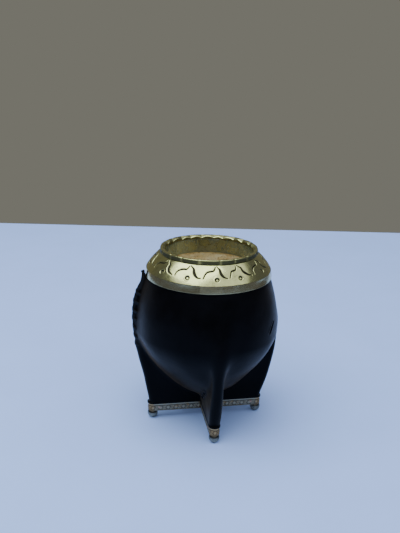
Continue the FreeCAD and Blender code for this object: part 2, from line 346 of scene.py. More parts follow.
class Shader(Nodes):
    """A Principled material, with textures placed in the object's own space."""

    def __init__(self, name, color, roughness, metallic=0.0, more=None):
        self.material = bpy.data.materials.new(name)
        self.material.use_nodes = True
        super().__init__(self.material.node_tree)
        self.bsdf = self.tree.nodes["Principled BSDF"]
        sockets = {"Base Color": (*color, 1), "Roughness": roughness, "Metallic": metallic}
        for socket, value in (sockets | (more or {})).items():
            self.bsdf.inputs[socket].default_value = value
        self.place = self.node("ShaderNodeTexCoord").outputs["Object"]
        self.normal = None

    def stretched(self, scale):
        mapping = self.node("ShaderNodeMapping")
        mapping.inputs["Scale"].default_value = scale
        self.link(self.place, mapping.inputs["Vector"])
        return mapping.outputs["Vector"]

    def noise(self, size_mm, detail=4.0, stretch=(1, 1, 1), rough=0.55, distortion=0.0):
        made = self.node("ShaderNodeTexNoise")
        made.inputs["Scale"].default_value = 1 / (size_mm * MM)
        made.inputs["Detail"].default_value = detail
        made.inputs["Roughness"].default_value = rough
        made.inputs["Distortion"].default_value = distortion
        self.link(self.stretched(stretch), made.inputs["Vector"])
        return made.outputs["Fac"]

    def cells(self, size_mm, feature="F1"):
        made = self.node("ShaderNodeTexVoronoi", feature=feature)
        made.inputs["Scale"].default_value = 1 / (size_mm * MM)
        self.link(self.stretched((1, 1, 1)), made.inputs["Vector"])
        return made.outputs["Distance"]

    def layer(self, name):
        """A number that the mesh stores at each point."""
        return self.node("ShaderNodeAttribute", attribute_name=name).outputs["Fac"]

    def ramp(self, value, stops):
        """A colour ramp from (position, colour) stops."""
        made = self.node("ShaderNodeValToRGB")
        elements = made.color_ramp.elements
        while len(elements) < len(stops):
            elements.new(0.5)
        for element, (position, color) in zip(elements, stops):
            element.position = position
            element.color = (*color, 1)
        self.link(value, made.inputs["Fac"])
        return made.outputs["Color"]

    def color(self, output):
        self.link(output, self.bsdf.inputs["Base Color"])

    def roughness(self, output):
        self.link(output, self.bsdf.inputs["Roughness"])

    def bump(self, height, depth_mm, strength=1.0):
        """Adds a bump on top of those already there."""
        made = self.node("ShaderNodeBump")
        made.inputs["Strength"].default_value = strength
        made.inputs["Distance"].default_value = depth_mm * MM
        self.link(height, made.inputs["Height"])
        if self.normal:
            self.link(self.normal, made.inputs["Normal"])
        self.normal = made.outputs["Normal"]
        self.link(self.normal, self.bsdf.inputs["Normal"])


def leather_finish():
    """Black leather with a faint sheen along its edges, a mottled gloss and a fine grain."""
    sheen = {"Sheen Weight": 0.10, "Sheen Roughness": 0.35, "Sheen Tint": (1.0, 0.75, 0.50, 1)}
    s = Shader("black_leather", (0.006, 0.006, 0.007), 0.38, more={"Specular IOR Level": 0.04} | sheen)
    mottle = s.noise(14.0, detail=5)
    s.color(s.ramp(mottle, [(0.3, (0.001, 0.001, 0.0012)), (0.7, (0.003, 0.003, 0.0035))]))
    s.roughness(s.span(s.noise(7.0, detail=6), 0.29, 0.40, 0.3, 0.7))
    s.bump(s.noise(9.0, detail=3), 0.5, 0.25)
    s.bump(s.cells(0.55), 0.05, 0.35)
    s.bump(s.noise(0.25, detail=3), 0.03, 0.3)
    return s.material


def thong_finish():
    s = Shader("black_thong", (0.005, 0.005, 0.006), 0.6, more={"Specular IOR Level": 0.12})
    s.color(s.ramp(s.noise(3.0, detail=4), [(0.3, (0.003, 0.003, 0.003)), (0.7, (0.008, 0.008, 0.009))]))
    s.roughness(s.span(s.noise(2.0), 0.5, 0.75, 0.3, 0.7))
    s.bump(s.noise(0.4, detail=4), 0.08, 0.5)
    return s.material


def rim_finish(name, pale, dull, sharp):
    """Pale greenish brass with fine turned scratches, dark in the engraving, and darkened by the painted
    shade and painted reflection streaks that the meshes carry.
    """
    s = Shader(name, pale, sharp, metallic=1.0)
    patina = s.noise(5.0, detail=7, rough=0.65)
    shades = [tuple(share * channel for channel in pale) for share in (0.62, 0.94, 1.08)]
    tone = s.ramp(patina, list(zip((0.30, 0.45, 0.75), shades)))
    # Painted reflection: the streak layer darkens the colour in upright bands.
    tone_with_painted_streaks = s.mix(1.0, tone, s.span(s.layer("painted_reflection_streak"), 1.0, 0.45), "MULTIPLY")
    # This layer holds patina in the engraving and at the solder joint, and painted shade on the lip's
    # wall and the band's foot; it darkens and roughens.
    patina_and_painted_shade = s.layer("patina_and_painted_shade")
    s.color(s.mix(patina_and_painted_shade, tone_with_painted_streaks, (0.030, 0.026, 0.016)))
    polish = s.span(patina, dull, sharp, 0.35, 0.6)
    s.roughness(s.math("ADD", polish, s.math("MULTIPLY", patina_and_painted_shade, 0.4)))
    s.bump(s.noise(4.0, detail=3, stretch=(1, 1, 4)), 0.06, 0.3)
    s.bump(s.noise(0.45, detail=3, stretch=(1, 1, 7)), 0.008, 0.5)
    return s.material


def trim_finish():
    """Old embossed metal, dark in its low places, with a copper tint in patches."""
    s = Shader("embossed_trim", (0.72, 0.60, 0.40), 0.3, metallic=1.0)
    height = s.layer("relief")
    tone = s.ramp(height, [(0.0, (0.15, 0.13, 0.09)), (0.4, (0.27, 0.24, 0.16)),
                           (0.9, (0.52, 0.46, 0.31))])
    copper = s.span(s.noise(2.6, detail=3), 0.0, 0.8, 0.55, 0.66)
    worn = s.math("MAXIMUM", copper, s.layer("copper"))
    s.color(s.mix(worn, tone, s.mix(1.0, tone, (1.2, 0.85, 0.52), "MULTIPLY")))
    s.roughness(s.span(height, 0.52, 0.28))
    s.bump(s.noise(0.35, detail=3), 0.02, 0.4)
    return s.material


def ball_finish():
    """Dull metal, with painted shade darkening it round the top."""
    s = Shader("ball_metal", (0.32, 0.30, 0.23), 0.2, metallic=1.0)
    tone = s.ramp(s.noise(2.5, detail=4), [(0.3, (0.17, 0.16, 0.12)), (0.7, (0.33, 0.31, 0.24))])
    s.color(s.mix(s.layer("painted_top_shade"), tone, (0.035, 0.03, 0.022)))
    s.roughness(s.span(s.noise(1.5, detail=5), 0.16, 0.36, 0.3, 0.7))
    s.bump(s.noise(1.2, detail=3), 0.03, 0.3)
    return s.material


def tack_finish():
    s = Shader("tack_metal", (0.55, 0.33, 0.22), 0.35, metallic=1.0)
    s.color(s.ramp(s.noise(0.6), [(0.3, (0.40, 0.22, 0.15)), (0.7, (0.66, 0.42, 0.28))]))
    s.bump(s.noise(0.3), 0.03, 0.4)
    return s.material


def steel_finish():
    s = Shader("stud_steel", (0.55, 0.55, 0.56), 0.4, metallic=1.0)
    s.roughness(s.span(s.noise(1.0), 0.3, 0.55, 0.3, 0.7))
    s.bump(s.noise(0.3, stretch=(1, 1, 4)), 0.02, 0.4)
    return s.material


def gourd_finish():
    """Dry gourd: tan, with darker patches, pale fibres and a rough tooth."""
    s = Shader("gourd_inside", (0.7, 0.55, 0.35), 0.85)
    patch = s.noise(7.0, detail=6, rough=0.65, distortion=0.6)
    tone = s.ramp(patch, [(0.28, (0.40, 0.24, 0.08)), (0.42, (0.72, 0.53, 0.24)),
                          (0.56, (0.92, 0.79, 0.43)), (0.78, (0.96, 0.90, 0.64))])
    fleck = s.span(s.noise(0.8, detail=5, rough=0.7), 0, 0.6, 0.52, 0.7)
    pit = s.span(s.noise(1.6, detail=4, rough=0.65), 0.75, 0, 0.30, 0.46)
    s.color(s.mix(pit, s.mix(fleck, tone, (0.94, 0.85, 0.62)), (0.42, 0.26, 0.10)))
    s.bump(patch, 0.8, 0.5)
    s.bump(s.noise(0.6, detail=6, rough=0.7), 0.3, 0.7)
    s.bump(s.cells(1.3, "DISTANCE_TO_EDGE"), 0.1, 0.3)
    return s.material


def wood_finish():
    s = Shader("base_wood", (0.12, 0.07, 0.04), 0.7)
    grain = s.noise(2.0, detail=6, stretch=(0.15, 0.15, 1), distortion=0.8)
    s.color(s.ramp(grain, [(0.3, (0.055, 0.032, 0.018)), (0.55, (0.13, 0.078, 0.042)),
                           (0.8, (0.20, 0.13, 0.075))]))
    s.bump(grain, 0.15, 0.5)
    return s.material


def resin_finish():
    s = Shader("bedding_resin", (0.30, 0.22, 0.15), 0.6)
    s.color(s.ramp(s.noise(3.0, detail=5), [(0.3, (0.20, 0.14, 0.09)), (0.7, (0.38, 0.29, 0.20))]))
    s.bump(s.noise(1.5, detail=4), 0.2, 0.5)
    return s.material


# ---- leather cover

def body_profile():
    """The leather's outline from the axis underneath up past the rim, as (r, z) points."""
    under = bezier([(0, BODY_BOTTOM_Z), (BODY_FLOOR_PULL, BODY_BOTTOM_Z),
                    (BODY_R, BODY_WIDE_Z - BODY_SIDE_PULL), (BODY_R, BODY_WIDE_Z)], UNDER_POINTS)
    z = np.linspace(BODY_WIDE_Z, LEATHER_TOP_Z + 12, 240)[1:]
    drop = BODY_UPPER_ARC_R - np.sqrt(BODY_UPPER_ARC_R ** 2 - (z - BODY_WIDE_Z) ** 2)
    return np.vstack([under, np.stack([BODY_R - drop, z], -1)])


PROFILE = body_profile()


def body_radius(z):
    return np.interp(z, PROFILE[:, 1], PROFILE[:, 0], left=0.0)


def body_distance_table():
    """Signed distance to the body on an (r, z) grid, negative inside."""
    r = np.arange(0, RAY_REACH + 6, TABLE_STEP)
    z = np.arange(TABLE_LOW_Z, LEATHER_TOP_Z + 10, TABLE_STEP)
    rr, zz = np.meshgrid(r, z, indexing="ij")
    gap = to_segments(rr, zz, PROFILE[::2])[0]
    inside = rr < body_radius(zz)
    return np.where(inside, -gap, gap)


BODY_TABLE = body_distance_table()


def body_distance(r, z):
    """Bilinear look-up in the table."""
    gr = np.clip(r / TABLE_STEP, 0, BODY_TABLE.shape[0] - 1.001)
    gz = np.clip((z - TABLE_LOW_Z) / TABLE_STEP, 0, BODY_TABLE.shape[1] - 1.001)
    i, j = gr.astype(int), gz.astype(int)
    u, v = gr - i, gz - j
    return ((1 - u) * (1 - v) * BODY_TABLE[i, j] + u * (1 - v) * BODY_TABLE[i + 1, j]
            + (1 - u) * v * BODY_TABLE[i, j + 1] + u * v * BODY_TABLE[i + 1, j + 1])


def ridge_radius(leg, z):
    """How far a fin reaches at a height. Past its top it sinks on into the body."""
    path = smooth_path(RIDGES[leg], 120)
    reach = np.interp(z, path[:, 1], path[:, 0])
    over = np.maximum(z - path[-1, 1], 0)
    return reach - over * 0.5


def fin_distance(x, y, z, leg, inset):
    """Distance to one fin and its hem."""
    angle = math.radians(LEGS[leg])
    u = x * math.cos(angle) + y * math.sin(angle)
    v = np.abs(-x * math.sin(angle) + y * math.cos(angle))
    rounding = FIN_ROUND - inset * 0.6
    out = u - ridge_radius(leg, z) + inset + rounding
    side = v - FIN_HALF_WIDTH + inset + rounding
    fin = np.hypot(np.maximum(out, 0), np.maximum(side, 0)) - rounding
    fin += np.minimum(np.maximum(out, side), 0)
    arm = np.hypot(np.maximum(u - HEM_NOSE_R, 0), v) - HEM_HALF_WIDTH + inset
    hem = np.maximum(arm, np.abs(z - (BASE_TOP_Z + HEM_TOP_Z) / 2) - HEM_HALF_HEIGHT)
    return np.maximum(smooth_min(fin, hem, HEM_BLEND), -u)


def cover_field(x, y, z, inset=0.0):
    """Distance to the whole leather form: the body blended into its four fins."""
    r = np.hypot(x, y)
    fins = np.inf
    for leg in LEGS:
        fins = smooth_min(fins, fin_distance(x, y, z, leg, inset), FIN_BLEND)
    toward_front = np.clip(-y / np.maximum(r, 1), 0, 1) ** 2
    return smooth_min(body_distance(r, z) + inset, fins, BODY_BLEND + FRONT_EXTRA_BLEND * toward_front)


def surface_radius(cos, sin, z, inset=0.0):
    """How far the form reaches along rays from the axis, found by halving."""
    low = np.zeros(np.broadcast_shapes(cos.shape, z.shape))
    high = np.full_like(low, RAY_REACH)
    for _ in range(HALVINGS):
        middle = (low + high) / 2
        outside = cover_field(middle * cos, middle * sin, z, inset) > 0
        high = np.where(outside, middle, high)
        low = np.where(outside, low, middle)
    return (low + high) / 2


def cover_sections(heights, counts, inset=0.0):
    """Closed outlines of the form at each height, as [row][column] points."""
    beside_fin = FIN_HALF_WIDTH + 0.1
    octant = np.unique(np.r_[np.arctan(beside_fin / np.linspace(52, beside_fin, 150)), 0.0,
                             np.linspace(0, math.pi / 4, 50)])
    octant = octant[octant <= math.pi / 4 + 1e-9]
    quarter = np.r_[octant, math.pi / 2 - octant[-2::-1]]
    angle = np.concatenate([quarter[:-1] + k * math.pi / 2 for k in range(4)])
    cos, sin = np.cos(angle), np.sin(angle)
    radius = surface_radius(cos, sin, heights[:, None], inset)
    x, y = resample_octants(radius * cos, radius * sin, len(octant) - 1, counts)
    return np.stack([x, y, np.broadcast_to(heights[:, None], x.shape)], -1)


def resample_octants(x, y, samples, counts):
    """Spreads the columns by length and by turn, so that ridges and corners get more of them."""
    x, y = np.append(x, x[:, :1], 1), np.append(y, y[:, :1], 1)
    dx, dy = np.diff(x, axis=1), np.diff(y, axis=1)
    heading = np.unwrap(np.arctan2(dy, dx), axis=1)
    turning = np.abs(np.diff(heading, axis=1, append=heading[:, -1:]))
    weight = np.hypot(dx, dy) + 1e-6 + LENGTH_OF_A_RADIAN * turning
    blocks = []
    for k, count in enumerate(counts):
        first, last = k * samples, (k + 1) * samples
        total = np.cumsum(weight[:, first:last], 1)
        total = np.pad(total, ((0, 0), (1, 0))) / total[:, -1:]
        share = np.arange(count) / count
        blocks.append([[np.interp(share, at, row) for at, row in zip(total, flat[:, first:last + 1])]
                       for flat in (x, y)])
    return np.concatenate(blocks, 2)


def cover_heights():
    """Rows from the hem to the rim, close together where the surface lies flat."""
    hem = np.linspace(BASE_TOP_Z, HEM_TOP_Z + 1.2, 16)
    floor_z = PROFILE[np.linspace(0, UNDER_POINTS - 1, 76).astype(int), 1]
    floor_z = floor_z[floor_z > HEM_TOP_Z + 1.6]
    between = np.linspace(HEM_TOP_Z + 1.5, BODY_BOTTOM_Z - 0.4, 8)
    upper = np.linspace(BODY_WIDE_Z, LEATHER_TOP_Z, 70)
    return np.unique(np.round(np.r_[hem, between, floor_z, upper], 3))


def cover_creases(points, azimuth):
    """Inward folds where the skin was pulled over the gourd, in millimetres."""
    z = points[..., 2]
    run = BODY_R * np.radians(azimuth)
    depth = np.zeros(z.shape)
    slit = smooth_path([(-34.0, 74.6), (-38.5, 71.6), (-43.7, 67.9)], 12)
    fine = smooth_path([(-42.5, 67.6), (-33.0, 64.0), (-21.8, 59.7)], 12)
    for path, half_width, deep in ((slit, 0.9, 0.75), (fine, 0.7, 0.22)):
        gap, along = to_segments(run, z, path * (BODY_R * math.radians(1), 1))
        taper = np.sin(np.clip(along, 0, 1) * math.pi) ** 0.5
        depth -= deep * taper * bump(gap, half_width)
        depth += 0.25 * deep * taper * bump(gap - 1.5 * half_width, half_width)
    return depth


def seam_pinch(points):
    """How far the skin is drawn out along the laced seam, in millimetres."""
    x, y, z = points[..., 0], points[..., 1], points[..., 2]
    height = 2.3 * smoothstep(45, 60, z) * (1 - 0.75 * smoothstep(82, 100, z))
    peak = 0.62 * np.exp(-(y / 2.4) ** 2) + 0.38 * np.exp(-(y / 6.5) ** 2)
    return np.where(x < 0, height * peak, 0.0)


def fin_puckers(points):
    """Small gathers where the front fin's left side runs into the body."""
    depth = np.zeros(points.shape[:-1])
    for start, end, deep in (((-3.2, -26.5, 32.0), (-4.4, -24.6, 28.4), 0.7),
                             ((-3.0, -20.5, 25.6), (-4.6, -16.9, 21.4), 0.6),
                             ((-3.4, -23.0, 28.2), (-4.6, -20.8, 25.4), 0.35)):
        a, b = np.array(start), np.array(end)
        run = b - a
        t = np.clip(((points - a) @ run) / (run @ run), 0, 1)
        gap = np.linalg.norm(points - a - t[..., None] * run, axis=-1)
        depth += deep * (0.7 * bump(gap - 1.7, 1.1) - bump(gap, 1.2))
    return depth


def make_cover(material):
    """One closed skin: the outside with its folds, and the inside back down to the hem."""
    columns = [44, 44, 44, 58, 58, 74, 74, 68]      # in each eighth of a turn from the right leg
    heights = cover_heights()
    outer = cover_sections(heights, columns)
    azimuth = np.degrees(np.arctan2(outer[..., 1], outer[..., 0]))
    z = outer[..., 2]
    free = smoothstep(HEM_TOP_Z, HEM_TOP_Z + 6, z) * (1 - smoothstep(96, 99, z))
    push = 0.16 * waves(outer, 11.0, 3) * free
    push += cover_creases(outer, azimuth) + seam_pinch(outer) + fin_puckers(outer)
    outer = outer + grid_normals(outer) * push[..., None]
    inner = cover_sections(heights[::-5], columns, LEATHER * 0.9)
    inner[..., 2] = np.clip(inner[..., 2], BASE_TOP_Z, LEATHER_TOP_Z)
    points = np.transpose(np.concatenate([outer, inner]), (1, 0, 2))
    return make_ring("leather_skin", points, material, "leather_cover", 50)


# ---- seam lacing

def skin_radius(azimuth, z):
    """The leather's outer radius at a place, with the pinch along the seam."""
    cos, sin = np.cos(azimuth), np.sin(azimuth)
    radius = surface_radius(cos, sin, z)
    return radius + seam_pinch(np.stack([radius * cos, radius * sin, z], -1))


def strand(path, up, width, thickness, section=12):
    """Points [ring][section] of a flat thong along a path, its flat side facing up."""
    width, thickness = [np.broadcast_to(size, len(path))[:, None, None] for size in (width, thickness)]
    path = np.asarray(path, float)
    along = tangents(path)
    side = np.cross(along, up)
    side /= np.linalg.norm(side, axis=1, keepdims=True)
    lift = np.cross(side, along)
    angle = np.linspace(0, TURN, section, endpoint=False)
    across = np.sign(np.cos(angle)) * np.abs(np.cos(angle)) ** 0.7 / 2
    height = np.sign(np.sin(angle)) * np.abs(np.sin(angle)) ** 0.8 / 2
    return (path[:, None, :] + side[:, None, :] * across[None, :, None] * width
            + lift[:, None, :] * height[None, :, None] * thickness)


def seam_roll(z):
    """The top radius of the rolled seam that the thong goes over."""
    path = smooth_path([(43.9, 50.0), (45.7, 58.0), (46.9, 71.5), (45.6, 84.0), (42.0, 93.5)], 60)
    return np.interp(z, path[:, 1], path[:, 0])


def over_seam(lateral, z, lift):
    """A point over the seam: lateral runs along Y, and lift is above the skin or the roll."""
    azimuth = math.pi - lateral / SEAM_R
    skin = skin_radius(azimuth, z)
    proud = np.maximum(seam_roll(z) - skin, 0)
    radius = skin + proud * np.exp(-(np.abs(lateral) / 2.0) ** 3) + lift
    return np.stack([radius * np.cos(azimuth), radius * np.sin(azimuth), z], -1)


def rolled_seam():
    """The leather's two edges, rolled into one bar that the thong pinches a little."""
    z = np.linspace(51.0, 93.5, 120)
    pinch = 0.12 * np.cos((z - FIRST_WRAP_Z) / WRAP_PITCH * TURN)
    middle = seam_roll(z) - 1.35 - pinch
    path = np.stack([-middle, 0.25 * np.sin(z * 0.6), z], -1)
    return strand(path, (-1.0, 0.0, 0.0), 3.6, 3.0, 20)


def thong_turns():
    """Flat turns of the thong over the seam, each rising a little as it crosses."""
    rng = np.random.default_rng(6)
    t = np.linspace(-1, 1, 30)
    turns = []
    for centre in np.arange(FIRST_WRAP_Z, LAST_WRAP_Z, WRAP_PITCH):
        reach = 3.7 + rng.uniform(-0.3, 0.3)
        rise = 2.0 + rng.uniform(-0.25, 0.25)
        height = centre + rng.uniform(-0.25, 0.25) + rise * t
        path = over_seam(reach * t, height, 0.05 - 0.9 * np.abs(t) ** 7)
        turns.append(strand(path, path * (1, 1, 0), 3.0, 0.8))
    return turns


def knotted_tail():
    """The thong's end, thinner toward the rim, and the turn that knots it there."""
    tail = smooth_path([(-41.0, -0.9, 89.0), (-40.3, -0.8, 93.0), (-40.0, -0.6, 96.5),
                        (-40.1, -0.5, 98.6), (-40.4, -0.45, 100.2)], 24)
    taper = np.linspace(1, 0, len(tail)) ** 0.8
    turn = np.linspace(0, 1.15 * TURN, 36)
    knot = np.stack([-40.4 + 0.4 * np.cos(turn), -0.45 + 0.4 * np.sin(turn),
                     99.9 + 0.4 * turn / TURN], -1)
    return [strand(tail, (-1.0, 0.1, 0.0), 1.6 + 2.2 * taper, 1.3 + 3.3 * taper),
            strand(knot, (0.0, 0.0, 1.0), 1.5, 1.5)]


def make_lacing(material):
    points, faces, offset = [], [], 0
    for bar in [rolled_seam(), *thong_turns(), *knotted_tail()]:
        points.append(bar.reshape(-1, 3))
        faces.append(rod_faces(*bar.shape[:2]) + offset)
        offset += len(points[-1])
    return make_piece("seam_thong", np.concatenate(points), np.concatenate(faces), material,
                      "seam_lacing", 70)


# ---- metal rim

def shoulder_outline(count):
    """The shoulder's outer arc from the crest up to the lip, as (r, z) points."""
    foot = np.array([SHOULDER_HIGH[0], SHOULDER_LOW[2]])
    top = np.array([SHOULDER_TOP_R, SHOULDER_HIGH[2]])
    t = np.linspace(0, 1, count)[:, None]
    handle = 2 * np.array(SHOULDER_MIDDLE) - (foot + top) / 2
    return (1 - t) ** 2 * foot + 2 * (1 - t) * t * handle + t ** 2 * top


# The wave's two strokes over a dimple, as (share of the way to the last or next dimple, share
# up the shoulder)
RISING_STROKE = [(-0.46, 0.31), (-0.42, 0.47), (-0.33, 0.60), (-0.20, 0.645), (-0.11, 0.67),
                 (-0.06, 0.76), (-0.035, 0.86)]
FALLING_STROKE = [(0.03, 0.88), (0.07, 0.83), (0.15, 0.72), (0.18, 0.56), (0.25, 0.42),
                  (0.34, 0.335), (0.44, 0.31)]


def stroke_cut(run, height, path, thin, thick):
    """How deep one stroke cuts at each place, the burr beside it, and how dark it is."""
    gap, along = to_segments(run, height, path)
    swell = thin + (thick - thin) * np.sin(np.clip(along * 1.15 - 0.1, 0, 1) * math.pi) ** 1.5
    cut = np.clip(1 - gap / swell, 0, 1)
    burr = 0.04 * bump(gap - 1.3 * swell, 0.3) * (cut == 0)
    return np.minimum(1.2 * swell * cut, STROKE_DEPTH), burr, smoothstep(0.0, 0.4, cut)


def dimple_cut(gap):
    """The same for a punched dimple, at a distance from its centre."""
    punch = np.clip(1 - (gap / DIMPLE_R) ** 2, 0, 1)
    ring = smoothstep(0.02, 0.3, punch) * (1 - 0.8 * smoothstep(0.72, 1, punch))
    return DIMPLE_DEPTH * punch ** 0.8, 0.06 * bump(gap - 1.65, 0.35), ring


def engraving(azimuth, share, slope_mm):
    """Depth of the engraved strokes and punched dimples, and how dark their bottoms are."""
    depth, dark = np.zeros((2, *azimuth.shape))
    centres = np.array(DIMPLE_AZIMUTHS, float)
    ahead = np.diff(np.r_[centres, centres[0] + 360])
    behind = np.roll(ahead, 1)
    rng = np.random.default_rng(11)
    for centre, step, back in zip(centres, ahead, behind):
        turn = (azimuth - centre + 180) % 360 - 180
        near = np.abs(turn) < WAVE_REACH_DEGREES
        run = np.radians(turn[near]) * ENGRAVED_R
        height = (share * slope_mm)[near]
        dimple_height = (0.285 + rng.normal(0, 0.012)) * slope_mm
        cuts = []
        for stroke, reach, thin, thick in ((RISING_STROKE, back, 0.38, 0.60),
                                           (FALLING_STROKE, step, 0.36, 0.95)):
            uneven = np.array(stroke) + rng.normal(0, 0.008, (len(stroke), 2))
            path = smooth_path(uneven, 40) * (np.radians(reach) * ENGRAVED_R, slope_mm)
            cuts.append(stroke_cut(run, height, path, thin, thick))
        cuts.append(dimple_cut(np.hypot(run, height - dimple_height)))
        best, ink = np.zeros((2, *run.shape))
        for deep, burr, black in cuts:
            best = np.maximum(best, deep) - burr
            ink = np.maximum(ink, black)
        depth[near] = np.where(np.abs(best) > np.abs(depth[near]), best, depth[near])
        dark[near] = np.maximum(dark[near], ink)
    return depth, dark


def make_shoulder(material):
    """The shoulder, engraved in a fine mesh and a little uneven, with a plain back."""
    count, rows = 1260, 62
    line = shoulder_outline(rows)
    slope_mm = np.linalg.norm(np.diff(line, axis=0), axis=1).sum()
    normal = right_normals(line)
    angle = np.linspace(-math.pi, math.pi, count, endpoint=False)[:, None]
    azimuth, share = np.broadcast_arrays(np.degrees(angle), np.linspace(0, 1, rows))
    depth, dark = engraving(azimuth, share, slope_mm)
    radius = line[:, 0] - depth * normal[:, 0]
    z = line[:, 1] - depth * normal[:, 1]
    outer = np.stack([radius * np.cos(angle), radius * np.sin(angle), z], -1)
    push_out(outer, 0.035 * waves(outer, 7.0, 5) * np.sin(share * math.pi))
    back = lathe((line - normal * SHOULDER_WALL)[::-20], count)
    points = np.concatenate([outer, np.roll(back, count // 2, axis=0)], 1)
    patina_and_painted_shade = np.pad(dark, ((0, 0), (0, back.shape[1])))
    return make_ring("engraved_shoulder", points, material, "rim_shoulder", 60, {"patina_and_painted_shade": patina_and_painted_shade})


def rounded(corners, radii, steps=5):
    """Rounds each corner of closed (r, z) outlines, [..., corner, 2], by its own radius."""
    corners = np.asarray(corners, float)
    out = []
    for k, radius in enumerate(radii):
        here = corners[..., k, :]
        ends = []
        for neighbour in (corners[..., k - 1, :], corners[..., (k + 1) % len(radii), :]):
            run = neighbour - here
            length = np.linalg.norm(run, axis=-1, keepdims=True)
            ends.append(here + run / length * np.minimum(radius, 0.45 * length))
        for t in np.linspace(0, 1, steps):
            out.append((1 - t) ** 2 * ends[0] + 2 * (1 - t) * t * here + t ** 2 * ends[1])
    return np.stack(out, -2)


def subdivided(outline, spacing):
    """Adds points along closed outlines, [..., point, 2], so that none lie further apart."""
    out = []
    points = outline.shape[-2]
    for k in range(points):
        start, end = outline[..., k, :], outline[..., (k + 1) % points, :]
        pieces = max(1, math.ceil(np.linalg.norm(end - start, axis=-1).max() / spacing))
        for step in range(pieces):
            out.append(start + (end - start) * step / pieces)
    return np.stack(out, -2)


def scallops(angle):
    """1 at each cusp of the lip's filed bevel, falling to 0 at the tops of the arches between."""
    rng = np.random.default_rng(4)
    uneven = rng.uniform(0.75, 1.15, NOTCHES)
    wander = rng.normal(0, math.radians(0.9), NOTCHES)
    step = TURN / NOTCHES
    cusp = np.zeros(angle.shape)
    for k in range(NOTCHES):
        off = (angle - k * step - wander[k] + math.pi) % TURN - math.pi
        near = np.clip(off / step, -0.5, 0.5)
        cusp = np.maximum(cusp, uneven[k] * (1 - np.abs(np.sin(math.pi * near))))
    return cusp


def make_lip(material):
    """A flat ring with its outer wall darkened as painted shade, its inner edge filed into a scalloped
    bevel.
    """
    count = 1200
    low, high = LIP_LOW[2], LIP_HIGH[2]
    angle = np.linspace(0, TURN, count, endpoint=False)
    depth = 0.65 + 0.95 * scallops(angle)
    bevel_slope = 0.85
    nick = np.abs(np.sin(angle * 9 + 0.4 * np.sin(angle * 5))) ** 30
    wall_lean = 0.38 + 0.5 * nick
    outer, bore, floor, top = [np.full(count, size) for size in (LIP_HIGH[0], BORE_R, low, high)]
    corners = np.array([[outer, outer - wall_lean, bore + depth / bevel_slope, bore, bore],
                        [floor, top, top, top - depth, floor]]).T
    section = subdivided(rounded(corners, (0.08, 0.3, 0.05, 0.12, 0.02)), 0.22)
    radius, z = section[..., 0], section[..., 1]
    # Painted shade: the outer wall is darkened as a painted dark reflection and left a little lighter at
    # each nick as painted glints; the bevel and the bore below its foot are darkened and roughened too.
    wall = smoothstep(-1.5, -1.2, radius - LIP_HIGH[0]) * (1 - smoothstep(-0.7, -0.3, z - high))
    wall *= 1 - 0.35 * nick[:, None]
    foot = (high - depth)[:, None]
    bevel = smoothstep(0.15, 0.4, z - foot) * (1 - smoothstep(-0.08, 0.0, z - high))
    bevel *= 1 - smoothstep(0.0, 0.15, radius - BORE_R - (z - foot) / bevel_slope)
    inside = (1 - smoothstep(0.02, 0.1, radius - BORE_R)) * (1 - smoothstep(-0.2, 0.0, z - foot))
    patina_and_painted_shade = np.maximum(np.maximum(0.85 * wall, 0.72 * bevel), 0.7 * inside)
    return make_ring("scalloped_lip", lathe(section, count), material, "rim_lip", 40,
                     {"patina_and_painted_shade": patina_and_painted_shade})


def painted_reflection_streaks(angle, seed, count, deepest):
    """Upright streaks of painted reflection, of uneven width round a ring, from 0 to deepest."""
    rng = np.random.default_rng(seed)
    edges = np.sort(rng.uniform(-math.pi, math.pi, count))
    shades = rng.uniform(0, deepest, count + 1)
    shade = np.full(angle.shape, shades[0])
    for edge, here, there in zip(edges, shades[:-1], shades[1:]):
        shade += (there - here) * smoothstep(-0.012, 0.012, angle - edge)
    shade -= (shades[-1] - shades[0]) * smoothstep(math.pi - 0.02, math.pi, angle)
    return shade


def make_band(material):
    """The plain band, a little wavy, with painted shade at its foot, painted reflection streaks and a
    drop of solder at its joint.
    """
    crest = np.array([SHOULDER_HIGH[0], BAND_HIGH[2]])
    foot = np.array([BAND_HIGH[0], BAND_LOW[2]])
    section = rounded([foot, crest, crest - (0.55, 0), foot - (0.5, 0)], (0.08, 0.18, 0.18, 0.08))
    points = lathe(subdivided(section, 0.4), 540)
    height = (points[..., 2] - foot[1]) / (crest[1] - foot[1])
    sway = 0.05 * waves(points * (1, 1, 0.3), 9.0, 8) * np.sin(np.clip(height, 0, 1) * math.pi)
    push_out(points, sway - 0.03)
    angle = np.arctan2(points[..., 1], points[..., 0])
    joint = 0.7 * bump(angle - SOLDER_TURN, 0.012) * smoothstep(0.55, 0.95, height)
    # Painted shade: the band's lowest part is darkened where it meets the leather.
    painted_foot_shade = 0.45 * (1 - smoothstep(0.0, 0.08, height))
    layers = {"patina_and_painted_shade": np.maximum(joint, painted_foot_shade), "painted_reflection_streak": painted_reflection_streaks(angle, 33, 26, 0.9)}
    return make_ring("plain_band", points, material, "rim_band", 50, layers)


def make_sleeve(material):
    """The sleeve inside the mouth, a little wavy, darker along its foot and with painted reflection
    streaks.
    """
    outer, low, high = SLEEVE_HIGH[0], SLEEVE_LOW[2], SLEEVE_HIGH[2]
    section = rounded([(outer, low), (outer, high), (BORE_R, high), (BORE_R, low)],
                      (0.15, 0.02, 0.02, 0.25))
    points = lathe(subdivided(section, 0.6), 480)
    push_out(points, np.maximum(0.05 * waves(points * (1, 1, 0.25), 8.0, 21), -0.02))
    angle = np.arctan2(points[..., 1], points[..., 0])
    # Darker towards the foot; the streak layer is painted reflection.
    layers = {"patina_and_painted_shade": 0.35 * (1 - smoothstep(low, low + 1.5, points[..., 2])),
              "painted_reflection_streak": painted_reflection_streaks(angle, 9, 12, 0.5)}
    return make_ring("mouth_sleeve", points, material, "rim_sleeve", 50, layers)


# ---- gourd

